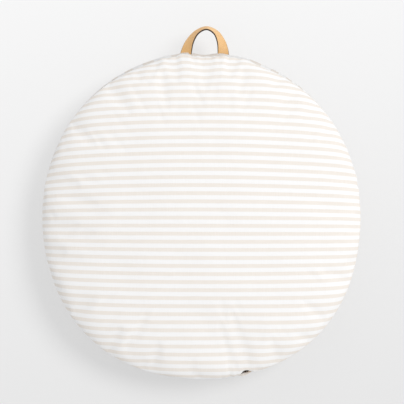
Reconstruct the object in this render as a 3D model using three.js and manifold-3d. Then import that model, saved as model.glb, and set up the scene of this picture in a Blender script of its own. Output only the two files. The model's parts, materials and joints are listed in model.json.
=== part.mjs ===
// A round nursing and lounging pillow: a zipped, removable striped cover over a stuffed liner, with a leather
// loop handle sewn into its seam. Millimetres, +Z up. The pillow lies on its underside: the origin is the
// middle of the flat patch it rests on, and the handle points along +Y. Angles run counterclockwise from
// +X, in degrees.
import * as THREE from "three";
import { mergeVertices } from "three/addons/utils/BufferGeometryUtils.js";
import Module from "manifold-3d";

const wasm = await Module();
wasm.setup();

// Driving dimensions of the pillow
const SEAM_RADIUS = 305; // 24 in across
const HANDLE_REACH = 6; // how much further the seam reaches out at the handle than at the sides
const SEAM_Z = 70; // height of the seam that joins the two panels
const TOP_Z = 143; // height of the crown's middle
const CROWN_SLOPE = 24; // how far the crown leans before it turns down at the rim
const RIM_SLOPE = 56; // how steeply the top panel meets the seam
const RIM_POWER = 10; // how late the crown turns from one to the other
const FOOT_SHARE = 0.5; // the share of the underside, from its middle, that rests flat
const UNDER_SLOPE = 45; // how far the rest leans before it turns up at the rim
const UNDER_RIM_SLOPE = 88; // how steeply it meets the seam
const UNDER_RIM_POWER = 3;
const COVER_THICKNESS = 1.5;
const SEAM_ALLOWANCE = 12; // the edge of each panel that is turned inside
const PANEL_SEGMENTS = 60;

// The stuffed insert
const LINER_RADIUS = 288;
const LINER_THICKNESS = 1;
const LINER_CLEARANCE = 1; // between the cover and the liner, above and below
const FILL_CLEARANCE = 0.6;
const INSERT_SEGMENTS = 40;

// The zip, 18 in long, set into the seam
const ZIP_START = -77.5; // the closed end
const ZIP_LENGTH = 457;
const ZIP_SEGMENTS = 120; // round the whole circle
const SLOT_HALF = 4.8; // half of the opening between the panels' edges
const CHANNEL_HALF = 1; // half of the channel along which the slider's neck runs
const COIL_HALF = 3.1;
const COIL_INNER = 298.9;
const COIL_OUTER = 301.6;
const TAPE_THICKNESS = 0.9;
const TAPE_OUTER = 298.6;
const TAPE_CLEARANCE = 0.8; // inside the panel
const TAPE_BEND = 4.2; // where it turns from the coil towards its panel
const TAPE_REACH = 14; // how far above or below the seam it is sewn to the panel
const STOP_LENGTH = 2;
const SLIDER_LENGTH = 11;
const SLIDER_HALF = 4.3;
const WING_THICKNESS = 1.2;
const WING_CLEARANCE = 0.9; // between the inner wing and the tapes
const FLANGE_THICKNESS = 0.4;
const BRIDGE_THICKNESS = 1.2;
const PULL_PIVOT = 1.2; // how far along the slider the ring hangs
const RING_LENGTH = 8.6; // from the pivot to the bar that holds the tab
const RING_HALF = 4.2;
const BAR_THICKNESS = 1.2;
const TAB_LENGTH = 20;
const TAB_HALF = 5;
const TAB_THICKNESS = 2.4;
const TAB_FOLD_HALF = 2.7; // the narrow neck that folds round the ring's bar
const TAB_FOLD_THICKNESS = 3.4;

// The handle: one leather strap, bent into a loop
const STRAP_WIDTH = 22;
const STRAP_THICKNESS = 3;
const HANDLE_X = 6;
const HINGE_GAP = 0.4; // between the seam and the line on which the loop bends
const HINGE_Y = SEAM_RADIUS + HANDLE_REACH + HINGE_GAP;
const LEG_SPACING = 72;
const TAIL_LENGTH = 13;
const TAIL_THICKNESS = 2.6;
const TAIL_END = 0.5; // how far the sewn-in tails stop short of that line
const STRAP_START = 2.2; // beyond that line
const STRAP_ROLL = 74; // flat at the seam, the strap stands almost on edge at the top of the loop
const STRAP_ROLL_POWER = 1.2; // how late it starts to roll
const STRAP_STEPS = 30;

// The care label, left blank
const LABEL_ANGLE = -115;
const LABEL_WIDTH = 30;
const LABEL_LENGTH = 34;
const LABEL_THICKNESS = 0.8;
const LABEL_OUT = 1; // outside the seam
const LABEL_DROP = 1.5; // below it

const SEAM_GAP = 0.3; // between faces that touch
const PLENTY = 400; // larger than the pillow's radius
const rad = THREE.MathUtils.degToRad;
const deg = THREE.MathUtils.radToDeg;
const ZIP_END = ZIP_START + deg(ZIP_LENGTH / SEAM_RADIUS);

// ---- Solids ----

function solid(geometry) {
  const bare = geometry.clone();
  bare.deleteAttribute("normal");
  bare.deleteAttribute("uv");
  const merged = mergeVertices(bare, 1e-3);
  const mesh = new wasm.Mesh({
    numProp: 3,
    vertProperties: merged.attributes.position.array,
    triVerts: new Uint32Array(merged.index.array),
  });
  return new wasm.Manifold(mesh);
}

function geometryOf(manifold) {
  const mesh = manifold.getMesh();
  const geometry = new THREE.BufferGeometry();
  geometry.setAttribute("position", new THREE.BufferAttribute(mesh.vertProperties, 3));
  geometry.setIndex(new THREE.BufferAttribute(mesh.triVerts, 1));
  return geometry;
}

const join = (first, ...rest) => geometryOf(rest.reduce((sum, g) => sum.add(solid(g)), solid(first)));
const cut = (first, ...tools) => geometryOf(tools.reduce((rest, g) => rest.subtract(solid(g)), solid(first)));
const common = (a, b) => geometryOf(solid(a).intersect(solid(b)));

// The half towards the handle, drawn out to its longer reach.
function drawnOut(geometry) {
  const position = geometry.attributes.position;
  const stretch = 1 + HANDLE_REACH / SEAM_RADIUS;
  for (let i = 0; i < position.count; i++) {
    const y = position.getY(i);
    position.setY(i, y > 0 ? y * stretch : y);
  }
  return geometry;
}

// A profile of [radius, height] pairs, turned about the Z axis.
function lathe(profile, segments) {
  const points = profile.map(([r, z]) => new THREE.Vector2(r, z));
  return new THREE.LatheGeometry(points, segments).rotateX(Math.PI / 2);
}

// A ring of the given closed section.
const ring = (section, segments) => lathe([...section, section[0]], segments);

const rectangle = (r0, r1, z0, z1) => [
  [r0, z0],
  [r1, z0],
  [r1, z1],
  [r0, z1],
];

// A tall wedge about the Z axis, between two angles less than half a turn apart.
function wedge(from, to) {
  const shape = new THREE.Shape();
  shape.moveTo(0, 0);
  shape.lineTo(PLENTY * 2 * Math.cos(rad(from)), PLENTY * 2 * Math.sin(rad(from)));
  shape.lineTo(PLENTY * 4 * Math.cos(rad((from + to) / 2)), PLENTY * 4 * Math.sin(rad((from + to) / 2)));
  shape.lineTo(PLENTY * 2 * Math.cos(rad(to)), PLENTY * 2 * Math.sin(rad(to)));
  return new THREE.ExtrudeGeometry(shape, { depth: PLENTY, bevelEnabled: false });
}

const arc = (section, from, to) => common(ring(section, ZIP_SEGMENTS), wedge(from, to));

function box(x0, x1, y0, y1, z0, z1) {
  const geometry = new THREE.BoxGeometry(x1 - x0, y1 - y0, z1 - z0);
  return geometry.translate((x0 + x1) / 2, (y0 + y1) / 2, (z0 + z1) / 2);
}

// A shape drawn on the seam's face, x along the seam and y up, made solid outwards from radius r.
function radialPlate(shape, depth, r) {
  const geometry = new THREE.ExtrudeGeometry(shape, { depth, bevelEnabled: false });
  const turn = new THREE.Matrix4().makeBasis(
    new THREE.Vector3(0, 1, 0),
    new THREE.Vector3(0, 0, 1),
    new THREE.Vector3(1, 0, 0),
  );
  return geometry.applyMatrix4(turn).translate(r, 0, 0);
}

function outline(points) {
  return new THREE.Shape(points.map(([x, y]) => new THREE.Vector2(x, y)));
}

// ---- Outlines of the pillow, as [radius, height] pairs from the axis to the seam ----

// The crown's slope grows evenly from its middle, and steepens close to the rim.
const crownSlope = (u) => CROWN_SLOPE * u + (RIM_SLOPE - CROWN_SLOPE) * u ** RIM_POWER;

// The underside's does the same from the edge of its flat middle.
function underSlope(u) {
  const t = Math.max(u - FOOT_SHARE, 0) / (1 - FOOT_SHARE);
  return UNDER_SLOPE * t + (UNDER_RIM_SLOPE - UNDER_SLOPE) * t ** UNDER_RIM_POWER;
}

// Follows a slope, given in degrees at each share of the way, from the middle's height to the seam. The
// points stand closer together towards the rim, and there are none between the middle and the start.
function follow(slope, start, radius, middle, count) {
  const steps = 200;
  const along = [[0, 0]];
  for (let i = 0; i < steps; i++) {
    const lean = rad(slope((i + 0.5) / steps));
    const [r, rise] = along[i];
    along.push([r + Math.cos(lean), rise + Math.sin(lean)]);
  }
  const [reach, climb] = along[steps];
  const points = start > 0 ? [[0, middle]] : [];
  for (let i = 0; i <= count; i++) {
    const u = 1 - (1 - start) * (1 - i / count) ** 1.7;
    const [r, rise] = along[Math.round(u * steps)];
    points.push([(r * radius) / reach, middle + (rise * (SEAM_Z - middle)) / climb]);
  }
  return points;
}

const crown = (radius, top, count) => follow(crownSlope, 0, radius, top, count);
const underside = (radius, bottom, count) => follow(underSlope, FOOT_SHARE, radius, bottom, count);

// The outline moved inwards by a distance, along its own normals.
function inset(points, distance, side) {
  return points.map(([r, z], i) => {
    const [r0, z0] = points[Math.max(i - 1, 0)];
    const [r1, z1] = points[Math.min(i + 1, points.length - 1)];
    const length = Math.hypot(r1 - r0, z1 - z0);
    const inwards = i === 0 ? 0 : (side * (z1 - z0)) / length;
    return [Math.max(r + distance * inwards, 0), z - (side * distance * (i === 0 ? 1 : (r1 - r0) / length))];
  });
}

// The radius at which an outline passes a height.
function radiusAt(points, height) {
  const i = points.findIndex(([, z], k) => k > 0 && (z - height) * (points[k - 1][1] - height) <= 0);
  const [[r0, z0], [r1, z1]] = [points[i - 1], points[i]];
  return r0 + ((r1 - r0) * (height - z0)) / (z1 - z0);
}

// A fabric panel from the axis to the seam, with its edge turned inwards by the seam allowance. side is 1
// above the seam and -1 below it.
function panel(points, thickness, allowance, side, segments) {
  const outer = points.map(([r, z]) => [r, z]);
  const rim = SEAM_Z + (side * SEAM_GAP) / 2;
  outer[outer.length - 1][1] = rim;
  const inner = inset(points, thickness, side);
  const [[r0, z0], [r1, z1]] = points.slice(-2);
  const steep = Math.atan2(Math.abs(z1 - z0), r1 - r0);
  const edge = r1 - (thickness * (1 + Math.cos(steep))) / Math.sin(steep);
  inner[inner.length - 1] = [edge, rim + side * thickness];
  const turned = allowance
    ? [
        [r1 - allowance, rim],
        [r1 - allowance, rim + side * thickness],
      ]
    : [[edge, rim]];
  const profile = [...outer, ...turned, ...inner.reverse()];
  return drawnOut(lathe(side > 0 ? profile.reverse() : profile, segments));
}

// ---- The cover ----

const coverTop = crown(SEAM_RADIUS, TOP_Z, 9);
const coverUnder = underside(SEAM_RADIUS, 0, 6);
const zipSlot = arc(rectangle(280, 312, SEAM_Z - SLOT_HALF, SEAM_Z + SLOT_HALF), ZIP_START, ZIP_END);

// side is -1 for the left end of the strap and 1 for the right one.
function tail(side, play, end) {
  const x = HANDLE_X + (side * LEG_SPACING) / 2;
  const half = STRAP_WIDTH / 2 + play;
  const thick = TAIL_THICKNESS / 2 + play;
  return box(x - half, x + half, HINGE_Y - TAIL_LENGTH - play, end, SEAM_Z - thick, SEAM_Z + thick);
}

const handleTail = (side) => tail(side, 0, HINGE_Y - TAIL_END);
const tailSlots = [-1, 1].map((side) => tail(side, SEAM_GAP, SEAM_RADIUS + HANDLE_REACH + 1));

const coverTopPanel = () =>
  cut(panel(coverTop, COVER_THICKNESS, SEAM_ALLOWANCE, 1, PANEL_SEGMENTS), zipSlot, ...tailSlots);
const coverBottomPanel = () =>
  cut(panel(coverUnder, COVER_THICKNESS, SEAM_ALLOWANCE, -1, PANEL_SEGMENTS), zipSlot, ...tailSlots);

// ---- The stuffed insert ----

function linerPanel(side) {
  const points =
    side > 0
      ? crown(LINER_RADIUS, TOP_Z - COVER_THICKNESS - LINER_CLEARANCE, 7)
      : underside(LINER_RADIUS, COVER_THICKNESS + LINER_CLEARANCE, 4);
  return panel(points, LINER_THICKNESS, 0, side, INSERT_SEGMENTS);
}

function fibreFill() {
  const skin = COVER_THICKNESS + LINER_CLEARANCE + LINER_THICKNESS + FILL_CLEARANCE;
  const radius = LINER_RADIUS - 2 * (LINER_THICKNESS + FILL_CLEARANCE);
  const above = crown(radius, TOP_Z - skin, 7);
  const below = underside(radius, skin, 4);
  return drawnOut(lathe([...below, ...above.reverse().slice(1)], INSERT_SEGMENTS));
}

// ---- The zip ----

const zipMargin = deg(0.4 / SEAM_RADIUS);
const stopAngle = deg(STOP_LENGTH / COIL_OUTER);
const SLIDER_ANGLE = ZIP_START + stopAngle + deg((SLIDER_LENGTH / 2 + 1) / COIL_OUTER);

// side is 1 for the upper half and -1 for the lower one. The tape follows the inside of its panel.
function zipTape(side) {
  const lining = inset(side > 0 ? coverTop : coverUnder, COVER_THICKNESS + TAPE_CLEARANCE, side);
  const face = [[TAPE_OUTER, SEAM_Z + side * CHANNEL_HALF]];
  for (const dz of [TAPE_BEND, (TAPE_BEND + TAPE_REACH) / 2, TAPE_REACH]) {
    face.push([Math.min(radiusAt(lining, SEAM_Z + side * dz), TAPE_OUTER), SEAM_Z + side * dz]);
  }
  const back = face.map(([r, z]) => [r - TAPE_THICKNESS, z]);
  const section = [...face, ...back.reverse()];
  return arc(side > 0 ? section : section.reverse(), ZIP_START + zipMargin, ZIP_END - zipMargin);
}

function zipCoil(side) {
  const [low, high] = side > 0 ? [CHANNEL_HALF, COIL_HALF] : [-COIL_HALF, -CHANNEL_HALF];
  const section = rectangle(COIL_INNER, COIL_OUTER, SEAM_Z + low, SEAM_Z + high);
  const clear = stopAngle + zipMargin * 2;
  return arc(section, ZIP_START + clear, ZIP_END - clear);
}

function zipStop(angle) {
  const section = rectangle(COIL_INNER, COIL_OUTER + 0.3, SEAM_Z - COIL_HALF, SEAM_Z + COIL_HALF);
  return arc(section, angle - stopAngle / 2, angle + stopAngle / 2);
}

const wingOuter = COIL_OUTER + 0.5;
const wingInner = TAPE_OUTER - TAPE_THICKNESS - WING_CLEARANCE - WING_THICKNESS;
const bridgeFoot = wingOuter + WING_THICKNESS;
const pullRadius = SEAM_RADIUS + 0.5 + TAB_FOLD_THICKNESS / 2;
const bridgeTop = pullRadius + BAR_THICKNESS / 2 + SEAM_GAP;

// Its wide end, with the neck, leads towards the closed end of the zip.
function slider() {
  const half = SLIDER_LENGTH / 2;
  const wing = outline([
    [-half, -SLIDER_HALF + 1.2],
    [-half + 2, -SLIDER_HALF],
    [0, -SLIDER_HALF],
    [half, -SLIDER_HALF + 1],
    [half, SLIDER_HALF - 1],
    [0, SLIDER_HALF],
    [-half + 2, SLIDER_HALF],
    [-half, SLIDER_HALF - 1.2],
  ]);
  const neckEnd = -half + 4;
  const flange = (z0) => box(COIL_OUTER - 1, wingOuter + 0.2, neckEnd, half - 0.6, z0, z0 + FLANGE_THICKNESS);
  return join(
    radialPlate(wing, WING_THICKNESS, wingOuter),
    radialPlate(wing, WING_THICKNESS, wingInner),
    box(wingInner + 0.2, wingOuter + 0.2, -half + 0.6, neckEnd, -0.6, 0.6),
    flange(COIL_HALF + 0.2),
    flange(-COIL_HALF - 0.2 - FLANGE_THICKNESS),
    box(bridgeFoot - 0.2, bridgeTop + 0.2, -3.6, -2.4, -1, 1),
    box(bridgeFoot - 0.2, bridgeTop + 0.2, 2.4, 3.6, -1, 1),
    box(bridgeTop, bridgeTop + BRIDGE_THICKNESS, -3.6, 3.6, -1, 1),
  );
}

const rectangleOf = (x0, x1, y0, y1) => [
  [x0, y0],
  [x1, y0],
  [x1, y1],
  [x0, y1],
];

// A wire ring. One bar lies under the slider's bridge, and the other holds the tab.
function pullRing() {
  const half = BAR_THICKNESS / 2;
  const shape = outline(rectangleOf(-half, RING_LENGTH + half, -RING_HALF, RING_HALF));
  const inner = RING_HALF - BAR_THICKNESS;
  shape.holes.push(outline(rectangleOf(half, RING_LENGTH - half, -inner, inner)));
  return radialPlate(shape, BAR_THICKNESS, -half);
}

// A leather strip folded round the ring's bar and stitched to itself.
function pullTab() {
  const half = TAB_FOLD_THICKNESS / 2;
  const clear = BAR_THICKNESS / 2 + SEAM_GAP;
  const fold = outline(rectangleOf(-half, half, RING_LENGTH - half, RING_LENGTH + half + 1));
  fold.holes.push(outline(rectangleOf(-clear, clear, RING_LENGTH - clear, RING_LENGTH + clear)));
  const folded = new THREE.ExtrudeGeometry(fold, { depth: TAB_FOLD_HALF * 2, bevelEnabled: false });
  const start = RING_LENGTH + half;
  const end = RING_LENGTH + TAB_LENGTH;
  const tab = outline([
    [start, -TAB_FOLD_HALF],
    [start + 2, -TAB_HALF],
    [end - 2, -TAB_HALF],
    [end, -TAB_HALF + 2],
    [end, TAB_HALF - 2],
    [end - 2, TAB_HALF],
    [start + 2, TAB_HALF],
    [start, TAB_FOLD_HALF],
  ]);
  const flat = radialPlate(tab, TAB_THICKNESS, -TAB_THICKNESS / 2);
  return join(folded.translate(0, 0, -TAB_FOLD_HALF), flat);
}

// ---- The handle ----

// The line down the middle of the strap, seen from above, from the left leg to the right one.
const strapLine = new THREE.CatmullRomCurve3(
  [
    [-LEG_SPACING / 2, STRAP_START],
    [-35.6, 8],
    [-31, 24],
    [-19, 40],
    [1, 48.5],
    [20.5, 40.5],
    [32, 24],
    [35.6, 8],
    [LEG_SPACING / 2, STRAP_START],
  ].map(([x, y]) => new THREE.Vector3(x, y, 0)),
);

// A straight strap bent along that line. Its inner edge turns up as it rolls.
function strapLoop() {
  const geometry = new THREE.BoxGeometry(1, STRAP_WIDTH, STRAP_THICKNESS, STRAP_STEPS, 1, 1);
  const position = geometry.attributes.position;
  const up = new THREE.Vector3(0, 0, 1);
  for (let i = 0; i < position.count; i++) {
    const s = Math.min(Math.max(position.getX(i) + 0.5, 0), 1);
    const tangent = strapLine.getTangentAt(s);
    const outwards = new THREE.Vector3().crossVectors(up, tangent);
    const roll = rad(STRAP_ROLL) * Math.max(Math.sin(Math.PI * s), 0) ** STRAP_ROLL_POWER;
    const across = outwards.multiplyScalar(Math.cos(roll)).addScaledVector(up, -Math.sin(roll));
    const through = new THREE.Vector3().crossVectors(tangent, across);
    const point = strapLine.getPointAt(s);
    point.addScaledVector(across, position.getY(i)).addScaledVector(through, position.getZ(i));
    position.setXYZ(i, point.x, point.y, point.z);
  }
  return geometry;
}

// ---- The care label ----

function careLabel() {
  const half = LABEL_THICKNESS / 2;
  return box(-half, half, -LABEL_WIDTH / 2, LABEL_WIDTH / 2, -LABEL_DROP - LABEL_LENGTH, -LABEL_DROP);
}

// ---- Assembly ----

const material = (color, roughness, metalness = 0) =>
  new THREE.MeshStandardMaterial({ color, roughness, metalness });
const stripedCotton = material("#f4ece4", 0.9);
const linerCotton = material("#f3f1ec", 0.9);
const polyesterFibre = material("#fbfbfa", 1);
const zipTapeCloth = material("#efe9df", 0.85);
const nylonCoil = material("#ece5d9", 0.45);
const bronze = material("#4a3525", 0.35, 0.9);
const tanLeather = material("#d9ab6c", 0.6);
const satin = material("#fafafa", 0.5);

const pillow = new THREE.Group();

function add(parent, name, geometry, finish) {
  const mesh = new THREE.Mesh(geometry, finish);
  mesh.name = name;
  parent.add(mesh);
  return mesh;
}

// A group turned to an angle round the pillow, at the seam's height: x points outwards, y along the seam.
function atSeam(angle) {
  const group = new THREE.Group();
  group.rotation.z = rad(angle);
  group.position.z = SEAM_Z;
  pillow.add(group);
  return group;
}

add(pillow, "cover_top_panel", coverTopPanel(), stripedCotton);
add(pillow, "cover_bottom_panel", coverBottomPanel(), stripedCotton);
add(pillow, "liner_top_panel", linerPanel(1), linerCotton);
add(pillow, "liner_bottom_panel", linerPanel(-1), linerCotton);
add(pillow, "fibre_fill", fibreFill(), polyesterFibre);

add(pillow, "zip_tape_upper", zipTape(1), zipTapeCloth);
add(pillow, "zip_tape_lower", zipTape(-1), zipTapeCloth);
add(pillow, "zip_coil_upper", zipCoil(1), nylonCoil);
add(pillow, "zip_coil_lower", zipCoil(-1), nylonCoil);
add(pillow, "zip_top_stop", zipStop(ZIP_START + stopAngle / 2 + zipMargin), bronze);
add(pillow, "zip_bottom_stop", zipStop(ZIP_END - stopAngle / 2 - zipMargin), bronze);
const sliderFrame = atSeam(SLIDER_ANGLE);
add(sliderFrame, "zip_slider", slider(), bronze);
add(sliderFrame, "zip_pull_ring", pullRing(), bronze).position.set(pullRadius, PULL_PIVOT, 0);
add(sliderFrame, "zip_pull_tab", pullTab(), tanLeather).position.set(pullRadius, PULL_PIVOT, 0);

add(pillow, "handle_strap", strapLoop(), tanLeather).position.set(HANDLE_X, HINGE_Y, SEAM_Z);
add(pillow, "handle_tail_left", handleTail(-1), tanLeather);
add(pillow, "handle_tail_right", handleTail(1), tanLeather);

add(atSeam(LABEL_ANGLE), "care_label", careLabel(), satin).position.x = SEAM_RADIUS + LABEL_OUT;

export default pillow;
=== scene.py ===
import json
import math

import bpy
import numpy as np
from mathutils import Matrix, Vector, noise


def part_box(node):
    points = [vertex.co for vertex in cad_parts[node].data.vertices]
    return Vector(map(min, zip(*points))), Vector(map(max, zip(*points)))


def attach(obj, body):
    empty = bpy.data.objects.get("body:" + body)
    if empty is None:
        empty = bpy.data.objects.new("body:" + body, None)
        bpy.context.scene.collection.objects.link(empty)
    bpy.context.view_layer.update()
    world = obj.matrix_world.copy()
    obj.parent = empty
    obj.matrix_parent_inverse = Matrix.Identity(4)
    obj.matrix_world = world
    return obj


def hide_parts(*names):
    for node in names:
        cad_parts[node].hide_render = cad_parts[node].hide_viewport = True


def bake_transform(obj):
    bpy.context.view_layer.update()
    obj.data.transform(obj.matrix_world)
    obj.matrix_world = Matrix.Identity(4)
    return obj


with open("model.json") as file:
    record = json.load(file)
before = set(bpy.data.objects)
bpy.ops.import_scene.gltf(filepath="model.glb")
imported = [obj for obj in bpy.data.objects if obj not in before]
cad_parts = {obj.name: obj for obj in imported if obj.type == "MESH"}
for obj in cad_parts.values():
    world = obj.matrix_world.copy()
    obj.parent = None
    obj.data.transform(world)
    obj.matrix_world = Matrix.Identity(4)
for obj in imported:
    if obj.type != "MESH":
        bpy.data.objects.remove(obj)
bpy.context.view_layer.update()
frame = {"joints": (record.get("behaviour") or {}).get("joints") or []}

# A round nursing pillow that lies on its underside. Metres, and angles in radians, counterclockwise from +X.
# A panel's outline is drawn in two coordinates: the radius, and the height above (or below) the seam.

MM = 0.001
AROUND = 2 * math.pi
UP = np.array([0, 0, 1.0])


def box_of(node):
    low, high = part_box(node)
    return np.array(low), np.array(high)


def middle_of(node):
    return sum(box_of(node)) / 2


# ---- Sizes from the frame ----

pivots = {joint["name"]: np.array(joint["pos_m"]) for joint in frame["joints"]}
SEAM_R = -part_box("cover_top_panel")[0].x
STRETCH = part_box("cover_top_panel")[1].y / SEAM_R  # of the half towards the handle
SEAM_Z = (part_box("cover_top_panel")[0].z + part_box("cover_bottom_panel")[1].z) / 2
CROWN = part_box("cover_top_panel")[1].z - SEAM_Z
TAPE_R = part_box("zip_tape_upper")[1].x
COIL_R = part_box("zip_coil_upper")[1].x
COIL_INNER_R = TAPE_R + 0.3 * MM
COIL_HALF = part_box("zip_coil_upper")[1].z - SEAM_Z
STRAP_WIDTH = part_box("handle_tail_left")[1].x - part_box("handle_tail_left")[0].x
TAIL_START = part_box("handle_tail_left")[0].y
HINGE = pivots["handle_flex"]
LEGS = [middle_of("handle_tail_left")[0], middle_of("handle_tail_right")[0]]
LOOP_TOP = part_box("handle_strap")[1].y


def angle_of(point):
    return math.atan2(point[1], point[0])


ZIP_START = angle_of(middle_of("zip_top_stop")) - 1.5 * MM / SEAM_R
ZIP_END = angle_of(middle_of("zip_bottom_stop")) + 1.5 * MM / SEAM_R
PULL = pivots["zip_pull_swing"]
PULL_PIVOT = 1.2 * MM
PULL_R = math.sqrt(PULL[0] ** 2 + PULL[1] ** 2 - PULL_PIVOT**2)
SLIDER_ANGLE = angle_of(PULL) - math.atan2(PULL_PIVOT, PULL_R)
TAB_ANGLE = SLIDER_ANGLE + 8.5 * MM / SEAM_R
LABEL_ANGLE = angle_of(pivots["care_label_flex"])

# ---- Shapes of the cloth ----

CROWN_SLOPE, CROWN_RIM_SLOPE, CROWN_RIM_POWER = 24, 97, 12
FOOT_SHARE = 0.5
UNDER_SLOPE, UNDER_RIM_SLOPE, UNDER_RIM_POWER = 45, 95, 3
ROLL = 1.3 * MM  # the radius on which a panel turns in at the seam
TURN_IN = 6 * MM
SEAM_OPENING = 0.15 * MM  # half of the gap between the panels,
ZIP_OPENING = 4.8 * MM  # along the zip,
TAIL_OPENING = 1.7 * MM  # and where the strap goes in
CLOTH_THICKNESS = 0.8 * MM
# Woven cloth gives most on its diagonals: a bulge for each quarter, counterclockwise from +X.
BIAS_BULGES = np.array([4.6, 6.2, 9, 11.5]) * MM
FAR_BULGE = 6 * MM  # away from the handle
UNDER_SHARE = 0.3  # the underside bulges less,
SEAM_PULL = 0.65  # and the seam lies in a groove
PUFFS = [(96.5, 8 * MM, 13 * MM), (103.5, 4.5 * MM, 12 * MM), (82.5, 4 * MM, 10 * MM), (74, 5 * MM, 24 * MM)]
DIP = (89, 4.5 * MM, 16 * MM)  # between the strap's two legs
PUFF_REACH = 22 * MM
HOLD_REACH = 9 * MM  # how far in from the seam the zip and the strap hold the cloth

TAB_NOTCH = 2.1  # how far the top panel draws back over the tab, as a share of its bulge
UNDER_TAB_BULGE = 9 * MM

SPOKES, RINGS = 480, 80
SIM_RINGS = 56
SIM_FRAMES = 18
PUCKER_CAP = 5 * MM

STRIPE = 15.15 * MM  # one beige and one white stripe
STRIPE_OFFSET = 5.6 * MM
BEIGE_SHARE = 0.47
STRIPE_TURN = 0.0026  # how far the stripes are off square to the handle
STRIPE_BOW = 0.7  # how the stuffing bends them away from the middle, per square metre
STRIPE_CROWD = 0.042  # and crowds them towards the handle, per metre


def ease(x):
    """0 below 0, 1 above 1, and smooth between them."""
    x = np.clip(x, 0, 1)
    return x * x * (3 - 2 * x)


def crown_slope(share):
    return CROWN_SLOPE * share + (CROWN_RIM_SLOPE - CROWN_SLOPE) * share**CROWN_RIM_POWER


def under_slope(share):
    t = np.maximum(share - FOOT_SHARE, 0) / (1 - FOOT_SHARE)
    return UNDER_SLOPE * t + (UNDER_RIM_SLOPE - UNDER_SLOPE) * t**UNDER_RIM_POWER


class Outline:
    """The side view of a panel: radius and height over the seam at each length of cloth from its middle."""

    def __init__(self, side, slope, radius, height, steps=1200):
        lean = np.radians(slope((np.arange(steps) + 0.5) / steps))
        r = np.concatenate([[0], np.cumsum(np.cos(lean))])
        drop = np.concatenate([[0], np.cumsum(np.sin(lean))])
        self.side = side
        self.r = r * radius / r[-1]
        self.h = height * (1 - drop / drop[-1])
        run, fall = np.diff(self.r), -np.diff(self.h)
        self.length = np.concatenate([[0], np.cumsum(np.hypot(run, fall))])
        self.lean = np.arctan2(fall, run)[-1]

    def turn(self, angle):
        """How much cloth there is from the middle to where the panel starts to turn in, in each direction."""
        rise = seam_opening(angle) + ROLL * (1 + math.cos(self.lean))
        return np.interp(-rise, -self.h, self.length)

    def world(self, r, h, angle):
        y = r * np.sin(angle)
        return np.stack([r * np.cos(angle), np.where(y > 0, y * STRETCH, y), SEAM_Z + self.side * h], -1)

    def place(self, length, angle):
        r = np.interp(length, self.length, self.r)
        spare = self.length[-1] - length
        free = 1 - np.maximum(held(angle), SEAM_PULL) * (1 - ease(spare / HOLD_REACH))
        amount = bulge(angle) * (length / self.length[-1]) ** 4
        if self.side < 0:
            amount = amount * (1 - (1 - UNDER_SHARE) * ease(spare / HOLD_REACH)) * (1 - by_label(angle))
            amount = amount + UNDER_TAB_BULGE * by_tab(angle, 16 * MM) * np.exp(-spare / (40 * MM))
        else:
            amount = amount * (1 - TAB_NOTCH * by_tab(angle, 10 * MM) * np.exp(-((spare / (15 * MM)) ** 2)))
            r = r + puffs(angle) * np.exp(-spare / PUFF_REACH) * free
        r = r + amount * free - hill(angle, *DIP) * np.exp(-spare / PUFF_REACH)
        return self.world(r, np.interp(length, self.length, self.h), angle)


def off_angle(angle, low, high):
    """How far along the seam an angle lies outside a range, and below 0 inside it."""
    off = (angle - (low + high) / 2 + math.pi) % AROUND - math.pi
    return (np.abs(off) - (high - low) / 2) * SEAM_R


def off_tail(angle):
    """The same for the places where the strap goes in."""
    x = np.where(np.sin(angle) > 0, SEAM_R * np.cos(angle), 1)
    return np.minimum(np.abs(x - LEGS[0]), np.abs(x - LEGS[1])) - STRAP_WIDTH / 2


def seam_opening(angle):
    at_zip = 1 - ease(off_angle(angle, ZIP_START, ZIP_END) / (9 * MM))
    at_tail = 1 - ease((off_tail(angle) - 1 * MM) / (4 * MM))
    return np.maximum(SEAM_OPENING, np.maximum(ZIP_OPENING * at_zip, TAIL_OPENING * at_tail))


def held(angle):
    """1 where the zip or the strap holds the seam to its true circle."""
    at_zip = 1 - ease(off_angle(angle, ZIP_START, ZIP_END) / (30 * MM))
    at_tail = 1 - ease(off_tail(angle) / (25 * MM))
    return np.maximum(at_zip, np.maximum(at_tail, by_label(angle)))


def by_label(angle):
    """1 where the care label hangs over the side."""
    return 1 - ease((off_angle(angle, LABEL_ANGLE, LABEL_ANGLE) - 20 * MM) / (25 * MM))


def bulge(angle):
    quarter = (np.floor(angle / (AROUND / 4)) % 4).astype(int)
    on_diagonal = 0.5 - 0.5 * np.cos(4 * angle)
    return BIAS_BULGES[quarter] * on_diagonal + FAR_BULGE * np.minimum(np.sin(angle), 0) ** 2


def puffs(angle):
    """Where the cloth stands out beside the handle."""
    return sum(hill(angle, *puff) for puff in PUFFS)


def hill(angle, middle, depth, width):
    off = off_angle(angle, math.radians(middle), math.radians(middle))
    return depth * np.exp(-((off / width) ** 2))


def by_tab(angle, width):
    """1 at the middle of the zip's leather tab, falling off on both sides."""
    return np.exp(-((off_angle(angle, TAB_ANGLE, TAB_ANGLE) / width) ** 2))


top_outline = Outline(1, crown_slope, SEAM_R, CROWN)
under_outline = Outline(-1, under_slope, SEAM_R, SEAM_Z)

# ---- Meshes ----


def mesh_object(name, points, faces, finish, smooth=True):
    mesh = bpy.data.meshes.new(name)
    mesh.from_pydata(np.asarray(points).tolist(), [], faces)
    mesh.update()
    mesh.shade_smooth() if smooth else mesh.shade_flat()
    mesh.materials.append(finish)
    made = bpy.data.objects.new(name, mesh)
    bpy.context.scene.collection.objects.link(made)
    return made


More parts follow.
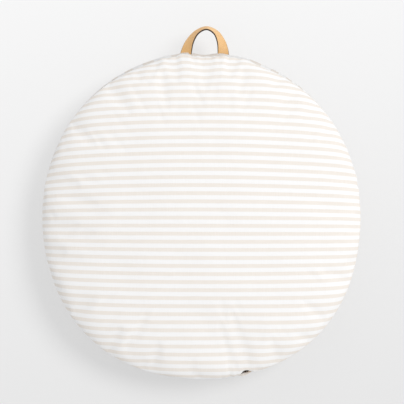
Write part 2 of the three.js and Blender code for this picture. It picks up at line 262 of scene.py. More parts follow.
class Parts:
    """Collects points and faces of several shapes that make one piece."""

    def __init__(self):
        self.points, self.faces, self.values = [], [], []
        self.count = 0

    def add(self, points, faces, values=None):
        points = np.asarray(points, float).reshape(-1, 3)
        self.points.append(points)
        self.faces += [[i + self.count for i in face] for face in faces]
        self.values.append(np.zeros(len(points)) if values is None else np.asarray(values).reshape(-1))
        self.count += len(points)

    def make(self, name, finish, value_name=None, smooth=True):
        made = mesh_object(name, np.concatenate(self.points), self.faces, finish, smooth)
        if value_name:
            store(made, value_name, np.concatenate(self.values))
        return made


def store(made, name, values):
    made.data.attributes.new(name, "FLOAT", "POINT").data.foreach_set("value", np.asarray(values, np.float32))


def grid_faces(rows, columns, around=False, closed=False):
    """Faces between rows of points. around joins each row's ends, and closed the first and last rows."""
    faces = []
    for i in range(rows if closed else rows - 1):
        for k in range(columns if around else columns - 1):
            a, b = i * columns + k, i * columns + (k + 1) % columns
            below = ((i + 1) % rows) * columns
            faces.append([a, b, below + (k + 1) % columns, below + k])
    return faces


def unit(vectors):
    return vectors / np.linalg.norm(vectors, axis=-1, keepdims=True)


def along(path, closed=False):
    """The direction of a path at each of its points."""
    if closed:
        return unit(np.roll(path, -1, 0) - np.roll(path, 1, 0))
    return unit(np.gradient(path, axis=0))


def tube(parts, path, radius, sides=6, closed=False):
    """A round wire or thread along a path, with flat ends where the path is open."""
    path = np.asarray(path, float)
    tangents = along(path, closed)
    first = np.cross(tangents[0], UP if abs(tangents[0][2]) < 0.9 else [1.0, 0, 0])
    normals = [unit(first)]
    for tangent in tangents[1:]:
        carried = normals[-1] - tangent * np.dot(normals[-1], tangent)
        normals.append(unit(carried))
    normals = np.array(normals)
    binormals = np.cross(tangents, normals)
    turn = np.arange(sides) * AROUND / sides
    rings = path[:, None] + radius * (
        np.cos(turn)[None, :, None] * normals[:, None] + np.sin(turn)[None, :, None] * binormals[:, None]
    )
    faces = grid_faces(len(path), sides, around=True, closed=closed)
    if not closed:
        last = (len(path) - 1) * sides
        faces += [list(range(sides)), [last + k for k in range(sides)][::-1]]
    parts.add(rings, [face[::-1] for face in faces])


def strip(parts, path, across, half_width, thickness, edge_steps=5, face_steps=8):
    """A flat strip along a path, with rounded edges. across is its sideways direction at each point.
    The value stored is 1 on the edges and 0 on the faces."""
    path, across = np.asarray(path, float), unit(np.asarray(across, float))
    through = unit(np.cross(along(path), across))
    half = np.broadcast_to(half_width, len(path))
    t = thickness / 2
    flat = np.linspace(-1, 1, face_steps)
    bend = np.linspace(-90, 90, edge_steps + 2)[1:-1] * math.pi / 180
    side, lift, on_edge, edge_out = [], [], [], []
    for sign in (1, -1):
        side += list(sign * flat)
        lift += [sign * t] * face_steps
        edge_out += [0] * face_steps
        on_edge += [0] * face_steps
        side += [sign] * edge_steps
        lift += list(-sign * t * np.sin(bend))
        edge_out += list(sign * t * np.cos(bend) * 0.8)
        on_edge += [1] * edge_steps
    side, lift, edge_out = np.array(side), np.array(lift), np.array(edge_out)
    sideways = side[None] * (half[:, None] - t * 0.8) + edge_out[None]
    rings = path[:, None] + sideways[..., None] * across[:, None] + lift[None, :, None] * through[:, None]
    columns = len(side)
    faces = grid_faces(len(path), columns, around=True)
    last = (len(path) - 1) * columns
    faces += [list(range(columns))[::-1], [last + k for k in range(columns)]]
    values = np.tile(on_edge, (len(path), 1)).astype(float)
    values[0] = values[-1] = 1
    parts.add(rings, faces, values)


def rounded(corners, radius, steps=5):
    """An outline in two coordinates with its corners rounded."""
    corners = np.asarray(corners, float)
    points = []
    for i, corner in enumerate(corners):
        before, after = corners[i - 1] - corner, corners[(i + 1) % len(corners)] - corner
        reach = min(radius, 0.45 * np.linalg.norm(before), 0.45 * np.linalg.norm(after))
        start, end = corner + unit(before) * reach, corner + unit(after) * reach
        for t in np.linspace(0, 1, steps):
            points.append((1 - t) ** 2 * start + 2 * t * (1 - t) * corner + t * t * end)
    return np.array(points)


def slab(parts, outline, low, high, soften):
    """A plate of the given outline, in the second and third coordinates, with softened edges."""
    centre = outline.mean(0)
    spokes = outline - centre
    inner = centre + spokes * (1 - soften / np.linalg.norm(spokes, axis=1, keepdims=True))
    layers = [(low, inner), (low + soften, outline), (high - soften, outline), (high, inner)]
    rows = [np.column_stack([np.full(len(o), x), o]) for x, o in layers]
    count = len(outline)
    faces = grid_faces(len(rows), count, around=True)
    faces = [face[::-1] for face in faces]
    faces += [list(range(count))[::-1], [3 * count + k for k in range(count)]]
    parts.add(np.concatenate(rows), [face[::-1] for face in faces])


def curve_through(points, spacing):
    """A smooth line through points, in even steps."""
    points = np.asarray(points, float)
    t = np.concatenate([[0], np.cumsum(np.sqrt(np.linalg.norm(np.diff(points, axis=0), axis=1)))])
    slope = np.gradient(points, t, axis=0)
    fine = np.linspace(0, t[-1], 400)
    i = np.clip(np.searchsorted(t, fine, side="right") - 1, 0, len(t) - 2)
    h = (t[i + 1] - t[i])[:, None]
    u = (fine - t[i])[:, None] / h
    line = (
        (2 * u**3 - 3 * u**2 + 1) * points[i]
        + (u**3 - 2 * u**2 + u) * h * slope[i]
        + (3 * u**2 - 2 * u**3) * points[i + 1]
        + (u**3 - u**2) * h * slope[i + 1]
    )
    length = np.concatenate([[0], np.cumsum(np.linalg.norm(np.diff(line, axis=0), axis=1))])
    even = np.linspace(0, length[-1], max(int(length[-1] / spacing), 2))
    return np.stack([np.interp(even, length, line[:, k]) for k in range(3)], -1)


def lay_out(made, flat):
    """Stores where each point lay on the flat cloth, in metres: the weave and the stripes follow it."""
    layer = made.data.uv_layers.new(name="cloth")
    corners = np.empty(len(made.data.loops), int)
    made.data.loops.foreach_get("vertex_index", corners)
    layer.data.foreach_set("uv", np.asarray(flat, np.float32)[corners].reshape(-1))


# ---- Materials ----


def add(tree, kind, inputs=None, **settings):
    """Adds a node. An input is given as a value, or as the socket that feeds it."""
    node = tree.nodes.new("ShaderNode" + kind)
    for name, value in settings.items():
        setattr(node, name, value)
    for name, value in (inputs or {}).items():
        if isinstance(value, bpy.types.NodeSocket):
            tree.links.new(value, node.inputs[name])
        else:
            node.inputs[name].default_value = value
    return node


def calc(tree, operation, *values):
    return add(tree, "Math", dict(enumerate(values)), operation=operation).outputs[0]


def times(tree, first, second):
    return calc(tree, "MULTIPLY", first, second)


def plus(tree, first, second):
    return calc(tree, "ADD", first, second)


def minus(tree, first, second):
    return calc(tree, "SUBTRACT", first, second)


def blend_colours(tree, factor, first, second):
    node = add(tree, "Mix", data_type="RGBA", blend_type="MIX")
    for socket, value in zip((0, 6, 7), (factor, first, second)):
        if isinstance(value, bpy.types.NodeSocket):
            tree.links.new(value, node.inputs[socket])
        elif socket:
            node.inputs[socket].default_value = (*value, 1)
        else:
            node.inputs[socket].default_value = value
    return node.outputs[2]


def spread(tree, value, low, high, out_low=0.0, out_high=1.0):
    inputs = {"Value": value, "From Min": low, "From Max": high, "To Min": out_low, "To Max": out_high}
    return add(tree, "MapRange", inputs, interpolation_type="SMOOTHSTEP").outputs[0]


def noise_at(tree, vector, scale, detail=2.0, roughness=0.5):
    inputs = {"Vector": vector, "Scale": scale, "Detail": detail, "Roughness": roughness}
    return add(tree, "TexNoise", inputs).outputs[0]


def stretch(tree, vector, scale):
    return add(tree, "Mapping", {"Vector": vector, "Scale": scale}).outputs[0]


def material(name, roughness, **shader_values):
    made = bpy.data.materials.new(name)
    made.use_nodes = True
    shader = made.node_tree.nodes["Principled BSDF"]
    shader.inputs["Roughness"].default_value = roughness
    for key, value in shader_values.items():
        shader.inputs[key.replace("_", " ")].default_value = value
    return made, made.node_tree, shader


def paint(tree, shader, factor, first, second):
    tree.links.new(blend_colours(tree, factor, first, second), shader.inputs["Base Color"])


def object_place(tree):
    return add(tree, "TexCoord").outputs["Object"]


def bump(tree, shader, height, depth, strength=1.0):
    node = add(tree, "Bump", {"Height": height, "Distance": depth, "Strength": strength})
    tree.links.new(node.outputs[0], shader.inputs["Normal"])


def cloth_axes(tree):
    uv = add(tree, "UVMap", uv_map="cloth").outputs[0]
    parted = add(tree, "SeparateXYZ", {"Vector": uv})
    return uv, parted.outputs[0], parted.outputs[1]


def weave(tree, u, v, yarn):
    """Over-and-under height of a plain weave, from -1 to 1."""
    across = calc(tree, "SINE", times(tree, u, AROUND / yarn))
    down = calc(tree, "SINE", times(tree, v, AROUND / yarn))
    return times(tree, across, down)


def striped_cotton():
    finish = {"Sheen_Weight": 0.12, "Sheen_Roughness": 0.5, "Specular_IOR_Level": 0.25}
    made, tree, shader = material("striped_cotton", 0.85, **finish)
    uv, u, v = cloth_axes(tree)
    waver = times(tree, minus(tree, noise_at(tree, uv, 350, 3), 0.5), 0.5 * MM)
    turned = plus(tree, v, times(tree, u, STRIPE_TURN))
    bowed = times(tree, v, times(tree, times(tree, u, u), STRIPE_BOW))
    upper = calc(tree, "MAXIMUM", v, 0.0)
    crowded = times(tree, times(tree, upper, upper), STRIPE_CROWD)
    bent = plus(tree, turned, plus(tree, bowed, crowded))
    offset = plus(tree, bent, plus(tree, waver, STRIPE_OFFSET))
    from_beige = calc(tree, "PINGPONG", offset, STRIPE / 2)
    edge = BEIGE_SHARE * STRIPE / 2
    white = spread(tree, from_beige, edge - 0.45 * MM, edge + 0.45 * MM)
    yarns = noise_at(tree, stretch(tree, uv, (40, 1400, 1)), 1.0, 2)
    wefts = noise_at(tree, stretch(tree, uv, (1400, 40, 1)), 1.0, 2)
    threads = times(tree, plus(tree, yarns, wefts), 0.5)
    beige = blend_colours(tree, spread(tree, threads, 0.3, 0.7), (0.775, 0.722, 0.664), (0.823, 0.777, 0.725))
    plain = blend_colours(tree, spread(tree, threads, 0.3, 0.7), (0.85, 0.846, 0.842), (0.88, 0.878, 0.878))
    paint(tree, shader, white, beige, plain)
    height = plus(tree, times(tree, weave(tree, u, v, 0.9 * MM), 0.5), threads)
    bump(tree, shader, height, 0.12 * MM, 0.5)
    return made


def plain_cotton(name, colour, yarn, sheen=0.1):
    made, tree, shader = material(name, 0.85, Sheen_Weight=sheen, Specular_IOR_Level=0.25)
    uv, u, v = cloth_axes(tree)
    threads = noise_at(tree, stretch(tree, uv, (60, 1200, 1)), 1.0, 2)
    darker = tuple(0.88 * c for c in colour)
    paint(tree, shader, spread(tree, threads, 0.3, 0.7), darker, colour)
    bump(tree, shader, plus(tree, weave(tree, u, v, yarn), threads), 0.1 * MM, 0.6)
    return made


def loose_fibre():
    made, tree, shader = material("polyester_fibre", 0.95, Sheen_Weight=0.4)
    place = object_place(tree)
    tufts = noise_at(tree, place, 45, 6, 0.7)
    paint(tree, shader, tufts, (0.78, 0.78, 0.77), (0.95, 0.95, 0.94))
    bump(tree, shader, tufts, 6 * MM, 0.9)
    return made


def tan_leather():
    finish = {"Specular_IOR_Level": 0.4, "Coat_Weight": 0.06, "Coat_Roughness": 0.35}
    made, tree, shader = material("tan_leather", 0.5, **finish)
    place = object_place(tree)
    cloudy = noise_at(tree, place, 28, 4, 0.6)
    hide = blend_colours(tree, spread(tree, cloudy, 0.3, 0.7), (0.76, 0.455, 0.19), (0.90, 0.60, 0.30))
    grain = add(tree, "TexVoronoi", {"Vector": place, "Scale": 900.0}, feature="DISTANCE_TO_EDGE").outputs[0]
    creases = spread(tree, grain, 0.0, 0.12)
    hide = blend_colours(tree, minus(tree, 1.0, creases), hide, (0.62, 0.34, 0.13))
    y = add(tree, "SeparateXYZ", {"Vector": place}).outputs[1]
    # Painted shade: the strap is darker towards where it goes in between the panels at the seam.
    seam_shade = {"Value": y, "From Min": HINGE[1] + 26 * MM, "From Max": HINGE[1], "To Min": 0.0, "To Max": 0.75}
    hide = blend_colours(tree, add(tree, "MapRange", seam_shade).outputs[0], hide, (0.60, 0.345, 0.125))
    on_edge = add(tree, "Attribute", attribute_name="edge").outputs["Fac"]
    wobble = times(tree, minus(tree, noise_at(tree, place, 500, 2), 0.5), 0.35)
    painted = spread(tree, plus(tree, on_edge, wobble), 0.42, 0.6)
    paint(tree, shader, painted, hide, (0.035, 0.016, 0.008))
    tree.links.new(spread(tree, painted, 0.0, 1.0, 0.52, 0.34), shader.inputs["Roughness"])
    fine = noise_at(tree, place, 1800, 3)
    height = plus(tree, times(tree, creases, minus(tree, 1.0, painted)), fine)
    bump(tree, shader, height, 0.08 * MM, 0.5)
    return made


def aged_bronze():
    made, tree, shader = material("aged_bronze", 0.35, Metallic=1.0)
    place = object_place(tree)
    patina = spread(tree, noise_at(tree, place, 350, 4, 0.6), 0.35, 0.65)
    paint(tree, shader, patina, (0.022, 0.013, 0.007), (0.10, 0.058, 0.03))
    tree.links.new(spread(tree, patina, 0.0, 1.0, 0.5, 0.28), shader.inputs["Roughness"])
    bump(tree, shader, noise_at(tree, place, 2500, 2), 0.02 * MM, 0.4)
    return made


def nylon():
    made, tree, shader = material("nylon_coil", 0.38, Specular_IOR_Level=0.5)
    place = object_place(tree)
    tone = noise_at(tree, place, 60, 2)
    paint(tree, shader, tone, (0.72, 0.66, 0.56), (0.82, 0.77, 0.68))
    return made


def satin():
    made, tree, shader = material("satin_label", 0.32, Sheen_Weight=0.2, Anisotropic=0.4)
    uv = cloth_axes(tree)[0]
    threads = noise_at(tree, stretch(tree, uv, (2500, 80, 1)), 1.0, 2)
    paint(tree, shader, threads, (0.86, 0.86, 0.85), (0.93, 0.93, 0.925))
    bump(tree, shader, threads, 0.03 * MM, 0.5)
    return made


def thread():
    made, tree, shader = material("sewing_thread", 0.6, Sheen_Weight=0.2)
    place = object_place(tree)
    twist = noise_at(tree, place, 1500, 2)
    paint(tree, shader, twist, (0.70, 0.62, 0.52), (0.86, 0.80, 0.71))
    bump(tree, shader, twist, 0.05 * MM, 0.6)
    return made


def pale_floor():
    """A pale floor that glows a little, more so at the far end: painted light, which also lightens the
    shadows on it.
    """
    made, tree, shader = material("pale_floor", 0.9, Specular_IOR_Level=0.1)
    place = object_place(tree)
    tone = noise_at(tree, place, 0.8, 1)
    paint(tree, shader, tone, (0.355, 0.355, 0.356), (0.365, 0.365, 0.366))
    y = add(tree, "SeparateXYZ", {"Vector": place}).outputs[1]
    # Painted light: the floor's own glow, brighter towards the far end.
    glow = {"Value": y, "From Min": -0.45, "From Max": 0.5, "To Min": 0.388, "To Max": 0.538}
    tree.links.new(add(tree, "MapRange", glow).outputs[0], shader.inputs["Emission Strength"])
    shader.inputs["Emission Color"].default_value = (1, 1, 1, 1)
    return made



cotton = striped_cotton()
lining = plain_cotton("liner_cotton", (0.88, 0.87, 0.84), 0.7 * MM)
tape_cloth = plain_cotton("zip_tape_cloth", (0.80, 0.73, 0.63), 1.1 * MM)
fibre = loose_fibre()
leather = tan_leather()
bronze = aged_bronze()
coil_nylon = nylon()
label_satin = satin()
cotton_thread = thread()

# ---- The cover ----


def even_disc(rings):
    """Nearly equal triangles in a disc, 6 i points in ring i: each one's ring and angle, and the faces."""
    ring, angle, faces = [0], [0.0], []
    first = [0]
    for i in range(1, rings + 1):
        first.append(len(ring))
        ring += [i] * (6 * i)
        angle += [AROUND * k / (6 * i) for k in range(6 * i)]
        for k in range(6 * i):
            sector, step = divmod(k, i)
            inner = first[i - 1] + (sector * (i - 1) + step) % max(6 * (i - 1), 1)
            after = first[i] + (k + 1) % (6 * i)
            faces.append([first[i] + k, after, inner])
            if step < i - 1:
                beyond = first[i - 1] + (sector * (i - 1) + step + 1) % (6 * (i - 1))
                faces.append([after, beyond, inner])
    return np.array(ring), np.array(angle), faces


def shift(points, amount, frequency, seed):
    """Smooth seeded noise at each point, between plus and minus the amount."""
    where = points * frequency + seed
    return np.array([noise.noise(Vector(p)) for p in where]) * amount


def simulated(outline, ring, angle, faces):
    """Where the points of a flat cotton disc go when it is sewn to the seam's shorter circle and stuffed."""
    length = ring / SIM_RINGS * outline.turn(angle)
    start = outline.place(length, angle)
    start[:, 2] += shift(start, 2.5 * MM, 22, 3.1) * (ring / SIM_RINGS) ** 3
    start[ring == SIM_RINGS] = outline.place(length, angle)[ring == SIM_RINGS]
    faces = faces if outline.side > 0 else [face[::-1] for face in faces]
    sheet = mesh_object("sheet", start, faces, cotton)
    sheet.shape_key_add(name="sewn")
    flat = sheet.shape_key_add(name="flat")
    cut = np.stack([length * np.cos(angle), length * np.sin(angle), np.full(len(length), SEAM_Z)], -1)
    flat.data.foreach_set("co", cut.astype(np.float32).reshape(-1))
    seam = sheet.vertex_groups.new(name="seam")
    seam.add(np.flatnonzero(ring == SIM_RINGS).tolist(), 1.0, "REPLACE")
    cloth = sheet.modifiers.new("cloth", "CLOTH")
    settings = cloth.settings
    settings.rest_shape_key = flat
    settings.vertex_group_mass = "seam"
    settings.quality = 6
    settings.mass = 0.25
    settings.air_damping = 4
    settings.tension_stiffness = settings.compression_stiffness = 25
    settings.shear_stiffness = 10
    settings.bending_stiffness = 4
    settings.use_pressure = True
    settings.uniform_pressure_force = 5
    settings.effector_weights.gravity = 0
    cloth.point_cache.frame_start, cloth.point_cache.frame_end = 1, SIM_FRAMES
    for step in range(1, SIM_FRAMES + 1):
        bpy.context.scene.frame_set(step)
    moved = sheet.evaluated_get(bpy.context.evaluated_depsgraph_get()).to_mesh()
    ends = np.empty(len(moved.vertices) * 3, np.float32)
    moved.vertices.foreach_get("co", ends)
    bpy.context.scene.frame_set(1)
    bpy.data.objects.remove(sheet)
    return ends.reshape(-1, 3)


def puckers(outline):
    """How the simulated cloth departs from the outline in each ring: outwards, along the seam and up."""
    ring, angle, faces = even_disc(SIM_RINGS)
    smooth = outline.place(ring / SIM_RINGS * outline.turn(angle), angle)
    moved = simulated(outline, ring, angle, faces) - smooth
    outwards = moved[:, 0] * np.cos(angle) + moved[:, 1] * np.sin(angle)
    sideways = moved[:, 1] * np.cos(angle) - moved[:, 0] * np.sin(angle)
    local = np.stack([outwards, sideways, moved[:, 2]], -1)
    rows = []
    for i in range(SIM_RINGS + 1):
        row = local[ring == i]
        row = row - row.mean(0)
        size = np.linalg.norm(row, axis=1, keepdims=True) + 1e-9
        rows.append(row * PUCKER_CAP * np.tanh(size / PUCKER_CAP) / size)
    return rows


def at_rings(rows, share, angle):
    """The puckers at each share of the way out and angle, between the rings' own points."""
    position = share * SIM_RINGS
    low = np.minimum(position.astype(int), SIM_RINGS - 1)
    found = np.zeros((*share.shape, 3))
    for i in np.unique(low):
        here = low == i
        part = (position[here] - i)[:, None]
        values = []
        for row in (rows[i], rows[i + 1]):
            own = np.arange(len(row)) * AROUND / len(row)
            parts = [np.interp(angle[here], own, row[:, k], period=AROUND) for k in range(3)]
            values.append(np.stack(parts, -1))
        found[here] = values[0] * (1 - part) + values[1] * part
    return found


def crease(angle, spare, where, deep, width, reach):
    """A valley that runs in from the seam, with a low rise on both sides."""
    off = off_angle(angle, where, where)
    valley = np.exp(-((off / width) ** 2)) - 0.45 * np.exp(-(((off - 1.7 * width) / width) ** 2))
    valley -= 0.35 * np.exp(-(((off + 1.7 * width) / width) ** 2))
    return deep * valley * np.exp(-spare / reach) * ease(spare / (5 * MM))


def gathers(angle, spare):
    """Creases where the strap, the zip's ends and its pull hold the seam: angle, depth, width and reach."""
    places = []
    for i, x in enumerate(np.arange(-66, 84, 17) * MM):
        depth, reach = [(2.6 * MM, 22 * MM), (1.5 * MM, 14 * MM), (2.1 * MM, 18 * MM)][i % 3]
        places.append((math.acos(x / SEAM_R), depth, 5.5 * MM, reach))
    places += [
        (ZIP_START - 0.035, 4.0 * MM, 7 * MM, 32 * MM),
        (ZIP_START - 0.075, 2.6 * MM, 8 * MM, 24 * MM),
        (ZIP_END + 0.05, 3.2 * MM, 7 * MM, 22 * MM),
        (TAB_ANGLE - 17 * MM / SEAM_R, 4.6 * MM, 4.5 * MM, 16 * MM),
        (TAB_ANGLE - 28 * MM / SEAM_R, 3.6 * MM, 4.5 * MM, 13 * MM),
        (TAB_ANGLE + 24 * MM / SEAM_R, 1.8 * MM, 5 * MM, 12 * MM),
    ]
    return sum(crease(angle, spare, *place) for place in places)


def turned_in(outline, edge, angle, cut):
    """The rows beyond a panel's edge, which roll inwards and lie flat against the other panel's."""
    r, h = np.hypot(edge[:, 0], edge[:, 1]), (edge[:, 2] - SEAM_Z) * outline.side
    middle_r, middle_h = r - ROLL * math.sin(outline.lean), h - ROLL * math.cos(outline.lean)
    rows, flats = [], []
    for turned in np.linspace(outline.lean, math.pi, 7)[1:]:
        rolled_r, rolled_h = middle_r + ROLL * math.sin(turned), middle_h + ROLL * math.cos(turned)
        rows.append(outline.world(rolled_r, rolled_h, angle))
        cut = cut + ROLL * (math.pi - outline.lean) / 6
        flats.append(np.stack([cut * np.cos(angle), cut * np.sin(angle)], -1))
    for share in (0.5, 1):
        rows.append(outline.world(middle_r - TURN_IN * share, middle_h - ROLL, angle))
        cut = cut + TURN_IN / 2
        flats.append(np.stack([cut * np.cos(angle), cut * np.sin(angle)], -1))
    return rows, flats


def cover_grid(outline):
    """Rows of points from the middle of a panel to its end inside the seam, and each one's flat place."""
    share = 1 - (1 - np.linspace(0, 1, RINGS + 1)) ** 1.35
    angle, share = np.meshgrid(np.arange(SPOKES) * AROUND / SPOKES, share)
    turn = outline.turn(angle)
    length = share * turn
    points = outline.place(length, angle)
    local = at_rings(puckers(outline), share, angle)
    lumps = shift(points.reshape(-1, 3), 2.2 * MM, 9, 5.7 + outline.side).reshape(share.shape)
    lumps += shift(points.reshape(-1, 3), 0.7 * MM, 26, 1.3 + outline.side).reshape(share.shape)
    spare = turn - length
    free = ease(spare / (30 * MM)) * outline.side
    dent = gathers(angle, spare)
    flat_foot = 1 if outline.side > 0 else ease((length / outline.length[-1] - FOOT_SHARE) * 6)
    outwards = (local[..., 0] - dent * 0.6) * flat_foot
    points[..., 0] += outwards * np.cos(angle) - local[..., 1] * np.sin(angle) * flat_foot
    points[..., 1] += outwards * np.sin(angle) + local[..., 1] * np.cos(angle) * flat_foot
    points[..., 2] += (local[..., 2] + lumps * free - dent * 0.8 * outline.side) * flat_foot
    points[..., 2] = np.maximum(points[..., 2], 0)
    points[0] = points[0].mean(0)
    flats = np.stack([length * np.cos(angle), length * np.sin(angle)], -1)
    rolled, rolled_flats = turned_in(outline, points[-1], angle[-1], length[-1])
    return np.concatenate([points, rolled]), np.concatenate([flats, rolled_flats])


def shell(name, rows, flats, side, finish, thickness):
    """A cloth shell from rows of points that start at its middle."""
    count = rows.shape[1]
    points = np.concatenate([rows[0][:1], rows[1:].reshape(-1, 3)])
    flat = np.concatenate([flats[0][:1], flats[1:].reshape(-1, 2)])
    faces = [[0, 1 + k, 1 + (k + 1) % count] for k in range(count)]
    faces += [[i + 1 for i in face] for face in grid_faces(len(rows) - 1, count, around=True)]
    faces = [face if i < count else face[::-1] for i, face in enumerate(faces)]
    if side < 0:
        faces = [face[::-1] for face in faces]
    made = mesh_object(name, points, faces, finish)
    lay_out(made, flat)
    skin = made.modifiers.new("thickness", "SOLIDIFY")
    skin.thickness = thickness
    skin.offset = -1
    return made


def cover_panel(name, node, outline):
    """Returns the panel's rows of points and their flat places, which the stitches are laid on."""
    rows, flats = cover_grid(outline)
    panel = shell(name, rows, flats, outline.side, cotton, CLOTH_THICKNESS)
    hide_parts(node)
    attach(panel, "cushion")
    return rows[:RINGS + 1], flats[:RINGS + 1]


def on_cloth(cloth, length, angle):
    """The place on a panel at a length of cloth from its middle and an angle."""
    points, flats = cloth
    column = angle % AROUND / AROUND * SPOKES
    low, part = int(column) % SPOKES, column % 1
    found = []
    for k in (low, (low + 1) % SPOKES):
        lengths = np.hypot(*flats[:, k].T)
        found.append(np.array([np.interp(length, lengths, points[:, k, axis]) for axis in range(3)]))
    return found[0] * (1 - part) + found[1] * part


def stitch(parts, start, end, outwards, radius=0.22 * MM):
    """One stitch that dips into the cloth at both ends."""
    t = np.linspace(0, 1, 6)[:, None]
    lift = (np.sin(math.pi * t) * 1.5 - 0.6) * radius
    tube(parts, start * (1 - t) + end * t + lift * outwards, radius, 5)


def zip_topstitching(panels):
    """A row of stitches along each folded edge of the zip."""
    parts = Parts()
    pitch, inset = 3.2 * MM / SEAM_R, 3.5 * MM
    half_stitch = pitch * 0.37
    for outline, cloth in panels:
        for middle in np.arange(ZIP_START + pitch, ZIP_END - pitch / 2, pitch):
            ends = np.array([middle - half_stitch, middle + half_stitch])
            length = outline.turn(ends) - inset
            here = [on_cloth(cloth, *place) for place in zip(length, ends)]
            seamwards = unit(here[0] - on_cloth(cloth, length[0] - 1 * MM, ends[0]))
            forwards = unit(here[1] - here[0])
            outwards = unit(np.cross(forwards, seamwards)) * -outline.side
            stitch(parts, here[0], here[1], outwards)
    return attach(parts.make("zip_topstitching", cotton_thread), "cushion")


# ---- The insert ----


def insert_shell(name, node, outline, radius, lower):
    """One half of the liner, a little inside the cover."""
    share = np.linspace(0, 1, 40)
    angle, share = np.meshgrid(np.arange(120) * AROUND / 120, share)
    length = share * outline.length[-1]
    r = np.interp(length, outline.length, outline.r) * radius / SEAM_R
    h = np.interp(length, outline.length, outline.h)
    h = np.maximum(h - lower * ease((outline.length[-1] - length) / (40 * MM)), 0.2 * MM)
    rows = outline.world(r, h, angle)
    flats = np.stack([length * np.cos(angle), length * np.sin(angle)], -1)
    made = shell(name, rows, flats, outline.side, lining, 0.5 * MM)
    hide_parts(node)
    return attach(made, "cushion")


def fibre_mass(radius, lower):
    """The stuffing, lumpy where it presses on the liner."""
    rows = []
    angle = np.arange(120) * AROUND / 120
    for outline, shares in ((top_outline, np.linspace(0, 1, 34)), (under_outline, np.linspace(1, 0, 34)[1:])):
        for share in shares:
            length = share * outline.length[-1]
            r = np.interp(length, outline.length, outline.r) * radius / SEAM_R
            h = max(np.interp(length, outline.length, outline.h) - lower, 0) * np.ones(len(angle))
            row = outline.world(r * np.ones(len(angle)), h, angle)
            inwards = (shift(row, 1.5 * MM, 18, 2.2) - 1.5 * MM) * outline.side
            row[:, 2] += inwards * (h > 0)
            rows.append(row)
    rows = np.array(rows)
    count = len(angle)
    points = np.concatenate([rows[0][:1], rows[1:-1].reshape(-1, 3), rows[-1][:1]])
    last = len(points) - 1
    faces = [[0, 1 + k, 1 + (k + 1) % count] for k in range(count)]
    faces += [[i + 1 for i in face[::-1]] for face in grid_faces(len(rows) - 2, count, around=True)]
    faces += [[last, last - count + (k + 1) % count, last - count + k] for k in range(count)]
    made = mesh_object("fibre_fill_mass", points, faces, fibre)
    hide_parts("fibre_fill")
    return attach(made, "cushion")


# ---- The zip ----


def sweep_round(name, section, start, end, finish, steps=110):
    """A closed section of (radius, height) pairs, swept about the pillow's axis between two angles."""
    section = np.asarray(section)
    angle = np.linspace(start, end, steps)
    r, z = section[:, 0], SEAM_Z + section[:, 1]
    rows = np.stack([np.outer(np.cos(angle), r), np.outer(np.sin(angle), r), np.tile(z, (steps, 1))], -1)
    count = len(section)
    faces = grid_faces(steps, count, around=True)
    faces += [list(range(count))[::-1], [(steps - 1) * count + k for k in range(count)]]
    made = mesh_object(name, rows.reshape(-1, 3), faces, finish, smooth=False)
    walk = np.concatenate([[0], np.cumsum(np.hypot(*np.diff(section, axis=0).T))])
    flat = np.stack([np.repeat(angle * SEAM_R, count), np.tile(walk, steps)], -1)
    lay_out(made, flat)
    return made


def zip_tape(name, node, outline):
    """It is woven, stands behind the coil, and is sewn to the inside of its panel."""
    low, high = 1.0 * MM, 14 * MM
    rises = np.concatenate([[low, 2.5 * MM, 4.2 * MM], np.linspace(5.5 * MM, high, 6)])
    inside = np.interp(-rises, -outline.h, outline.r) - 3.2 * MM
    face = np.minimum(inside, TAPE_R)
    side = outline.side
    section = list(zip(face, side * rises)) + list(zip(face - 0.6 * MM, side * rises))[::-1]
    if side > 0:
        section = section[::-1]
    made = sweep_round(name, section, ZIP_START + 0.5 * MM / SEAM_R, ZIP_END - 0.5 * MM / SEAM_R, tape_cloth)
    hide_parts(node)
    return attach(made, "cushion")


def zip_coil(name, node, side):
    """A wound nylon thread, whose turns are the teeth."""
    pitch = 1.6 * MM
    span = (ZIP_END - ZIP_START) * SEAM_R - 7 * MM
    turns = int(span / pitch)
    phase = np.arange(turns * 10) * AROUND / 10
    wire = 0.27 * MM
    low, high = 0.75 * MM, COIL_HALF - wire
    middle_z, middle_r = side * (low + high + wire) / 2, (COIL_INNER_R + COIL_R) / 2
    r = middle_r + ((COIL_R - COIL_INNER_R) / 2 - wire) * np.cos(phase)
    z = SEAM_Z + middle_z + side * ((high - low - wire) / 2) * np.sin(phase)
    angle = ZIP_START + (3.5 * MM + (phase / AROUND + (0.5 if side > 0 else 0)) * pitch) / SEAM_R
    parts = Parts()
    tube(parts, np.stack([r * np.cos(angle), r * np.sin(angle), z], -1), wire, 5)
    made = parts.make(name, coil_nylon)
    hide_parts(node)
    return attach(made, "cushion")


def turn_to_seam(made, angle, out=0.0, sideways=0.0):
    """Moves a piece, drawn with x outwards and y along the seam, to its place on the seam."""
    made.data.transform(Matrix.Translation((0, 0, SEAM_Z)) @ Matrix.Rotation(angle, 4, "Z")
                        @ Matrix.Translation((out, sideways, 0)))
    return made


def oblong(low, high, bottom, top):
    """The corners of a rectangle, counterclockwise."""
    return [(low, bottom), (high, bottom), (high, top), (low, top)]


SLIDER = [COIL_R + 0.5 * MM, COIL_R + 1.7 * MM]  # the outer plate's two faces
WIRE = 0.6 * MM
RING_LENGTH, RING_HALF = 8.6 * MM, 3.6 * MM
TAB_TWIST = math.radians(15)


